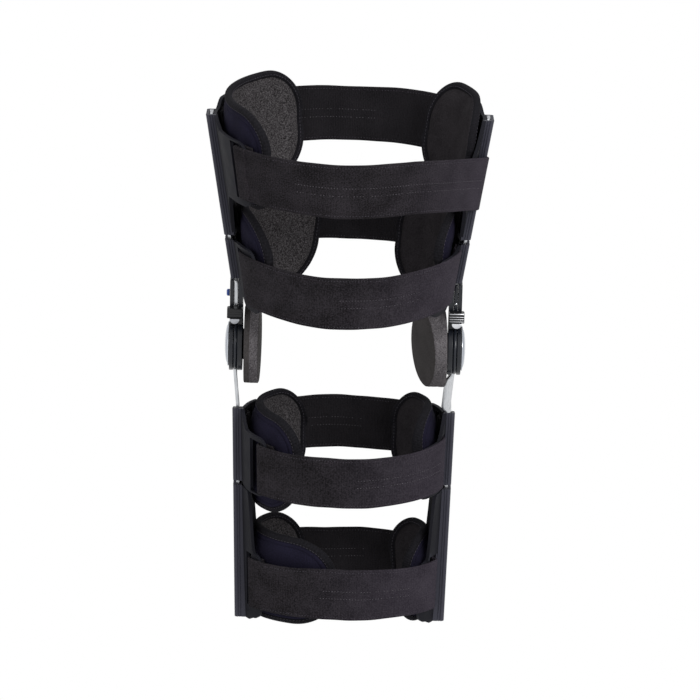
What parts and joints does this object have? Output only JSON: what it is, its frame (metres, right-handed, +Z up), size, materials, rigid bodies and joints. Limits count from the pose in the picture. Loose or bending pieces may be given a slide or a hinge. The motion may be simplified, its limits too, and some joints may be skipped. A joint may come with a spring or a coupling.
{
  "type": "hinged knee brace",
  "caption": "Hinged knee brace: jointed metal uprights with round hinges carry padded, strapped cuffs above and below the knee.",
  "frame": {"origin": "on the floor under the middle of the brace's box, with the brace standing upright", "axes": "+Z up along the leg, +Y towards the back of the leg, +X to the right as seen from the front"},
  "size_m": [0.2408, 0.1972, 0.47],
  "materials": {
    "aluminium": "satin",
    "bracket_plastic": "satin moulded",
    "hinge_black": "satin",
    "pin_steel": "satin",
    "tongue_grey": "smooth",
    "button_blue": "smooth",
    "foam": "speckled foam",
    "pad_cloth": "jersey",
    "loop_cloth": "brushed loop",
    "webbing": "woven"
  },
  "bodies": {
    "calf": {"calf_bar_left": "aluminium", "calf_bar_right": "aluminium", "calf_upper_bracket_left": "bracket_plastic", "calf_upper_bracket_right": "bracket_plastic", "calf_lower_bracket_left": "bracket_plastic", "calf_lower_bracket_right": "bracket_plastic", "calf_upper_pad_left": "pad_cloth", "calf_upper_pad_right": "pad_cloth", "calf_lower_pad_left": "pad_cloth", "calf_lower_pad_right": "pad_cloth", "calf_upper_front_strap": "loop_cloth", "calf_upper_back_strap": "webbing", "calf_lower_front_strap": "loop_cloth", "calf_lower_back_strap": "webbing"},
    "thigh": {"thigh_bar_left": "aluminium", "thigh_bar_right": "aluminium", "thigh_upper_bracket_left": "bracket_plastic", "thigh_upper_bracket_right": "bracket_plastic", "thigh_lower_bracket_left": "bracket_plastic", "thigh_lower_bracket_right": "bracket_plastic", "hinge_inner_plate_left": "hinge_black", "hinge_inner_plate_right": "hinge_black", "hinge_outer_plate_left": "hinge_black", "hinge_outer_plate_right": "hinge_black", "hinge_cap_left": "hinge_black", "hinge_cap_right": "hinge_black", "hinge_pin_left": "pin_steel", "hinge_pin_right": "pin_steel", "lock_button_left": "button_blue", "condyle_pad_left": "foam", "condyle_pad_right": "foam", "thigh_upper_pad_left": "pad_cloth", "thigh_upper_pad_right": "pad_cloth", "thigh_lower_pad_left": "pad_cloth", "thigh_lower_pad_right": "pad_cloth", "thigh_upper_front_strap": "loop_cloth", "thigh_upper_back_strap": "webbing", "thigh_lower_front_strap": "loop_cloth", "thigh_lower_back_strap": "webbing"},
    "lock_left": {"lock_slider_left": "bracket_plastic", "lock_tongue_left": "tongue_grey"},
    "lock_right": {"lock_slider_right": "bracket_plastic", "lock_tongue_right": "tongue_grey"}
  },
  "joints": [
    {"name": "knee_hinge", "type": "hinge", "parent": "calf", "child": "thigh", "pos_m": [0, 0.00464, 0.246], "axis": [-1, 0, 0], "range_deg": [0, 90]},
    {"name": "lock_slide_left", "type": "slide", "parent": "thigh", "child": "lock_left", "axis": [0, 0, 1], "range_m": [0, 0.005]},
    {"name": "lock_slide_right", "type": "slide", "parent": "thigh", "child": "lock_right", "axis": [0, 0, 1], "range_m": [0, 0.005]}
  ]
}
